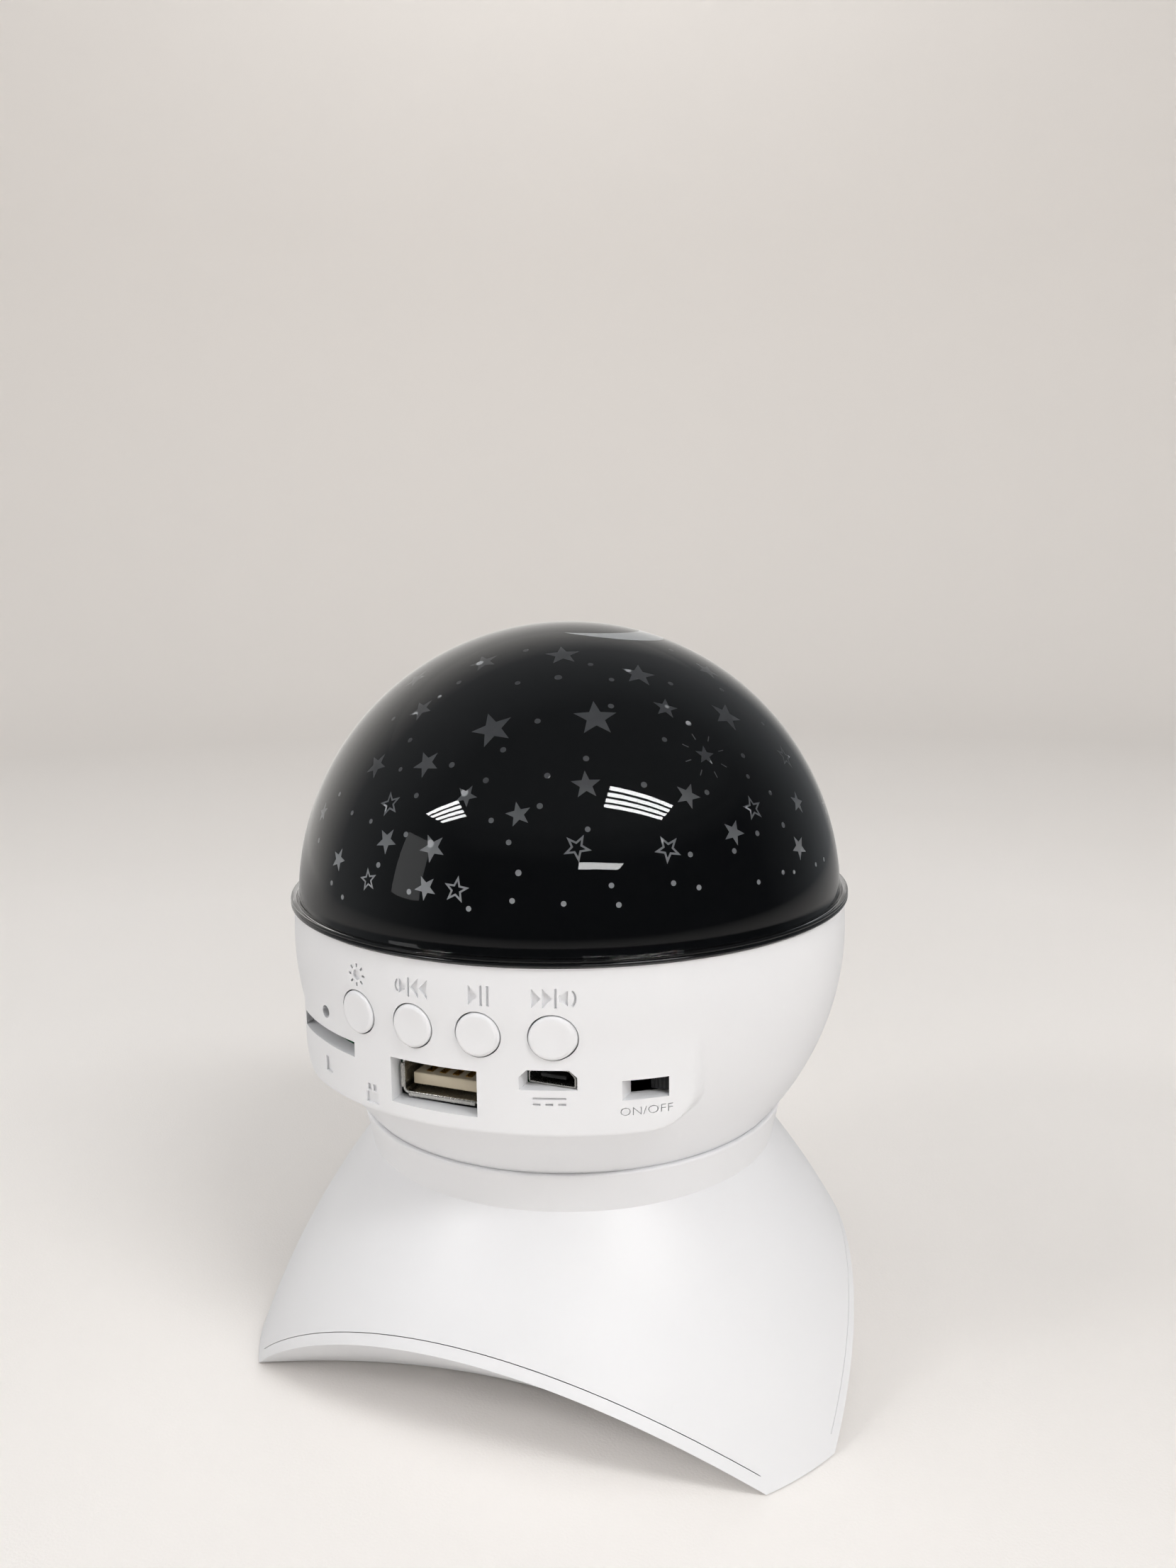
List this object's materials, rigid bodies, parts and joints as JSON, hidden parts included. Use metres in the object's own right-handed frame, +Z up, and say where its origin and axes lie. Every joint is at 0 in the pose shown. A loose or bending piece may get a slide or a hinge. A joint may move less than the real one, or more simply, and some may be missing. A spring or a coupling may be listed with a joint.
{
  "type": "star night light projector",
  "caption": "Night light: a black star dome turned by a motor on a white ball with buttons and sockets, on a three-footed bell stand with a speaker.",
  "frame": {"origin": "on the floor, on the vertical axis of the dome, the ball and the stand", "axes": "+Z up, the control panel faces -Y, +X is to the right of someone who looks at the panel"},
  "size_m": [0.1066, 0.1058, 0.1279],
  "materials": {
    "clear_dome": "clear moulded PS, polished",
    "black_film": "black printed film with clear stars",
    "black_ring": "gloss black ABS",
    "gear_plastic": "moulded acetal",
    "steel": "zinc plated",
    "white_shell": "satin white ABS",
    "white_inside": "white ABS, as moulded",
    "white_button": "satin white ABS",
    "led_board_white": "white solder mask",
    "led_resin": "cast epoxy",
    "clear_lens": "clear moulded PC",
    "gearbox_plastic": "black ABS",
    "motor_steel": "pressed steel",
    "black_plastic": "black nylon",
    "green_board": "solder mask on glass fibre",
    "indicator_resin": "clear epoxy",
    "nickel_shell": "nickel plated steel",
    "socket_insulator": "cream nylon",
    "gold_contact": "gold plated",
    "cell_sleeve": "shrink sleeve",
    "pad_rubber": "soft rubber",
    "gasket_foam": "closed foam",
    "basket_steel": "black painted steel",
    "cone_paper": "black pulp",
    "magnet_ferrite": "ferrite with a steel plate"
  },
  "bodies": {
    "housing": {"bowl_shell": "white_shell", "lamp_deck": "white_inside", "deck_screws": "steel", "reflector_plate": "white_inside", "lamp_post": "white_inside", "led_board": "led_board_white", "star_leds": "led_resin", "lens_cap": "clear_lens", "motor_gearbox": "gearbox_plastic", "motor_can": "motor_steel", "motor_screws": "steel", "button_board": "green_board", "tact_switches": "motor_steel", "indicator_led": "indicator_resin", "main_board": "green_board", "board_screws": "steel", "board_parts": "black_plastic", "usb_shell": "nickel_shell", "usb_tongue": "socket_insulator", "usb_contacts": "gold_contact", "micro_usb_shell": "nickel_shell", "micro_usb_tongue": "black_plastic", "card_socket": "motor_steel", "switch_case": "nickel_shell", "battery_cell": "cell_sleeve", "battery_holder": "gearbox_plastic", "neck_ring": "white_shell", "bowl_screws": "steel", "stand_shell": "white_shell", "stand_cover": "white_shell", "cover_screws": "steel", "foot_pads": "pad_rubber", "speaker_gasket": "gasket_foam", "speaker_frame": "basket_steel", "speaker_cone": "cone_paper", "speaker_magnet": "magnet_ferrite", "speaker_screws": "steel"},
    "dome": {"dome_shell": "clear_dome", "star_film": "black_film", "dome_ring": "black_ring", "gear_ring": "gear_plastic"},
    "pinion": {"drive_pinion": "gear_plastic", "output_shaft": "steel"},
    "lamp_key": {"lamp_button": "white_button", "lamp_plunger": "black_plastic"},
    "previous_key": {"previous_button": "white_button", "previous_plunger": "black_plastic"},
    "play_key": {"play_button": "white_button", "play_plunger": "black_plastic"},
    "next_key": {"next_button": "white_button", "next_plunger": "black_plastic"},
    "power_key": {"power_slider": "black_plastic"}
  },
  "joints": [
    {"name": "dome_spin", "type": "hinge", "parent": "housing", "child": "dome", "pos_m": [0, 0, 0.08], "axis": [0, 0, 1], "continuous": true},
    {"name": "pinion_spin", "type": "hinge", "parent": "housing", "child": "pinion", "pos_m": [0, 0.034, 0.08], "axis": [0, 0, 1], "continuous": true},
    {"name": "lamp_press", "type": "slide", "parent": "housing", "child": "lamp_key", "axis": [0, 1, 0], "range_m": [0, 0.0005], "stiffness_N_per_m": 400, "springref_m": -0.0003},
    {"name": "previous_press", "type": "slide", "parent": "housing", "child": "previous_key", "axis": [0, 1, 0], "range_m": [0, 0.0005], "stiffness_N_per_m": 400, "springref_m": -0.0003},
    {"name": "play_press", "type": "slide", "parent": "housing", "child": "play_key", "axis": [0, 1, 0], "range_m": [0, 0.0005], "stiffness_N_per_m": 400, "springref_m": -0.0003},
    {"name": "next_press", "type": "slide", "parent": "housing", "child": "next_key", "axis": [0, 1, 0], "range_m": [0, 0.0005], "stiffness_N_per_m": 400, "springref_m": -0.0003},
    {"name": "power_slide", "type": "slide", "parent": "housing", "child": "power_key", "axis": [-1, 0, 0], "range_m": [0, 0.0022]}
  ],
  "couplings": [
    {"joint": "pinion_spin", "follows": "dome_spin", "ratio": 6.6667}
  ]
}
